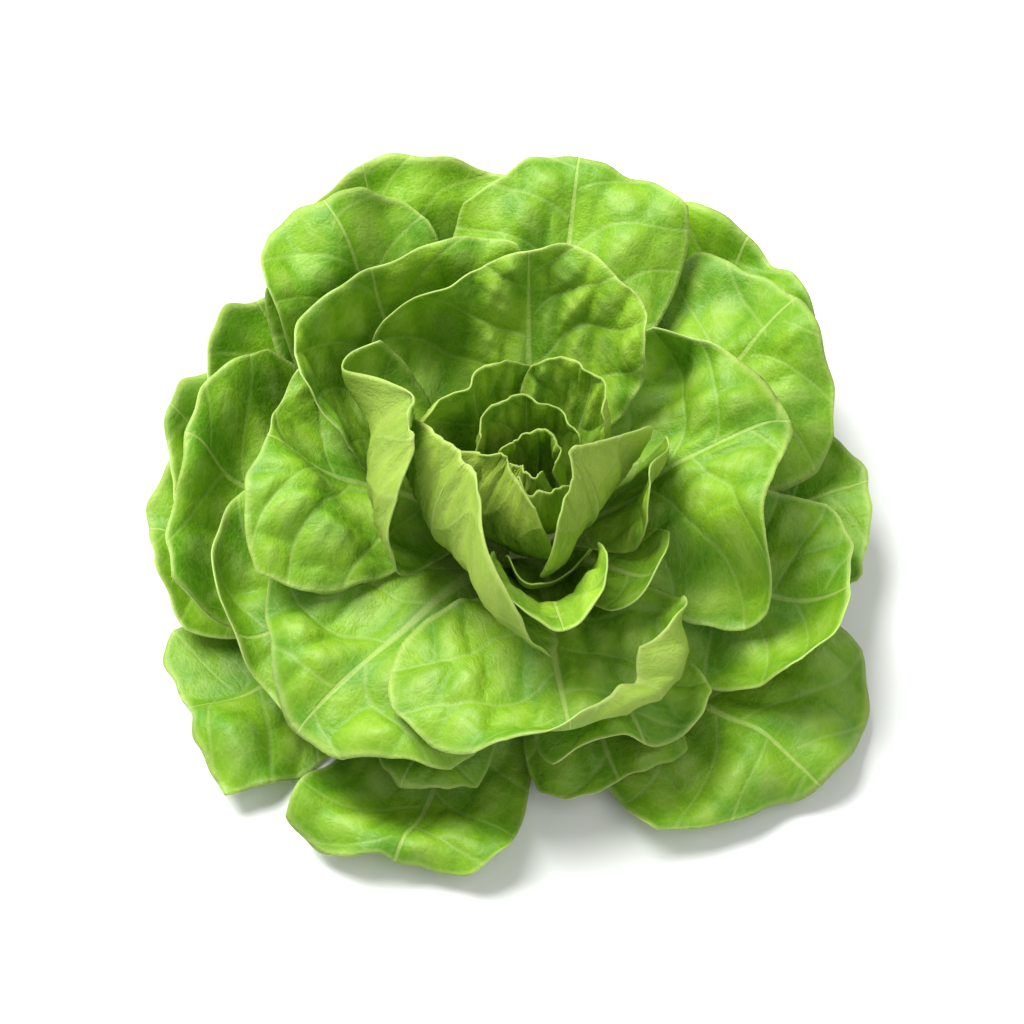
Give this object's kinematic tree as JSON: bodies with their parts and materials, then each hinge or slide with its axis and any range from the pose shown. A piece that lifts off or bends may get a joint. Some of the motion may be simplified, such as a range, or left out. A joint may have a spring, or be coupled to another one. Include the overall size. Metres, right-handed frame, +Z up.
{
  "type": "butterhead lettuce",
  "caption": "Open head of butterhead lettuce: a rosette of broad, soft, waved leaves around a folded heart, on a short cut stem.",
  "frame": {"origin": "centre of the stem's cut face, which the head stands on", "axes": "+Z up along the stem; the picture was taken from -Y, looking along +Y and down"},
  "size_m": [0.2362, 0.2351, 0.1088],
  "materials": {
    "heart_leaf": "fresh leaf, pale yellow-green, satin",
    "inner_leaf": "fresh leaf, mid green, satin",
    "outer_leaf": "fresh leaf, full green, satin",
    "stem": "cut stem, creamy white-green, moist"
  },
  "bodies": {
    "root": {"heart_leaf_01": "heart_leaf", "heart_leaf_02": "heart_leaf", "heart_leaf_03": "heart_leaf", "heart_leaf_04": "heart_leaf", "heart_leaf_05": "heart_leaf", "heart_leaf_06": "heart_leaf", "heart_leaf_07": "heart_leaf", "heart_leaf_08": "heart_leaf", "heart_leaf_09": "heart_leaf", "heart_leaf_10": "heart_leaf", "heart_leaf_11": "heart_leaf", "heart_leaf_12": "heart_leaf", "heart_leaf_13": "heart_leaf", "inner_leaf_01": "inner_leaf", "inner_leaf_02": "inner_leaf", "inner_leaf_03": "inner_leaf", "inner_leaf_04": "inner_leaf", "inner_leaf_05": "inner_leaf", "inner_leaf_06": "inner_leaf", "inner_leaf_07": "inner_leaf", "inner_leaf_08": "inner_leaf", "outer_leaf_01": "outer_leaf", "outer_leaf_02": "outer_leaf", "outer_leaf_03": "outer_leaf", "outer_leaf_04": "outer_leaf", "outer_leaf_05": "outer_leaf", "outer_leaf_06": "outer_leaf", "outer_leaf_07": "outer_leaf", "outer_leaf_08": "outer_leaf", "outer_leaf_09": "outer_leaf", "outer_leaf_10": "outer_leaf", "outer_leaf_11": "outer_leaf", "outer_leaf_12": "outer_leaf", "outer_leaf_13": "outer_leaf", "outer_leaf_14": "outer_leaf", "outer_leaf_15": "outer_leaf", "outer_leaf_16": "outer_leaf", "outer_leaf_17": "outer_leaf", "outer_leaf_18": "outer_leaf", "outer_leaf_19": "outer_leaf", "outer_leaf_20": "outer_leaf", "outer_leaf_21": "outer_leaf", "stem": "stem"}
  },
  "joints": []
}
